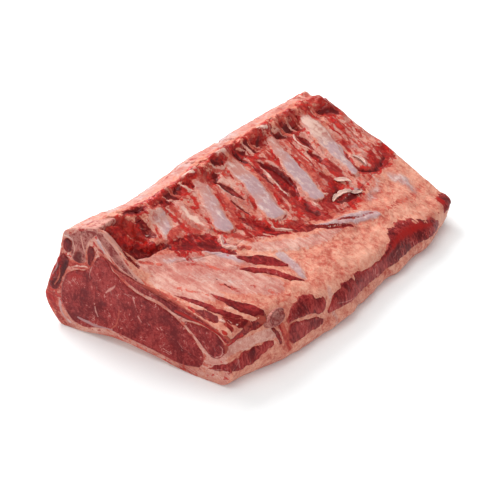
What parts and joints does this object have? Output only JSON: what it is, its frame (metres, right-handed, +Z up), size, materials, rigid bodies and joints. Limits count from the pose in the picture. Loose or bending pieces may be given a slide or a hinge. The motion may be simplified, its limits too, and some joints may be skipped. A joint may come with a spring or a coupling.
{
  "type": "bone-in beef short loin",
  "caption": "Raw bone-in beef loin lying fat side down, with a dark red eye muscle at the cut, flat finger bones across the top and a pale fat cover",
  "frame": {"origin": "middle of the footprint, on the table the loin rests on", "axes": "+Y along the backbone from the rib-end cut to the far cut, +X towards the belly flank, +Z up to the bone side"},
  "size_m": [0.241, 0.4145, 0.125],
  "materials": {
    "fat": "moist beef fat and membrane",
    "lean": "moist raw lean",
    "bone": "damp bone under thin membrane"
  },
  "bodies": {
    "root": {"belly_strip_high": "lean", "belly_strip_low": "lean", "eye_muscle": "lean", "fat_cover": "fat", "finger_lean": "lean", "flank_muscle_corner": "lean", "flank_muscle_front": "lean", "flank_muscle_middle_high": "lean", "flank_muscle_middle_low": "lean", "flank_muscle_rear": "lean", "iliocostalis": "lean", "intercostal_muscle": "lean", "last_rib": "bone", "multifidus": "lean", "rib_strip_high": "lean", "rib_strip_low": "lean", "ring_muscle": "lean", "round_muscle": "lean", "vertebra_0": "bone", "vertebra_1": "bone", "vertebra_2": "bone", "vertebra_3": "bone", "vertebra_4": "bone", "vertebra_5": "bone", "vertebra_6": "bone"}
  },
  "joints": []
}
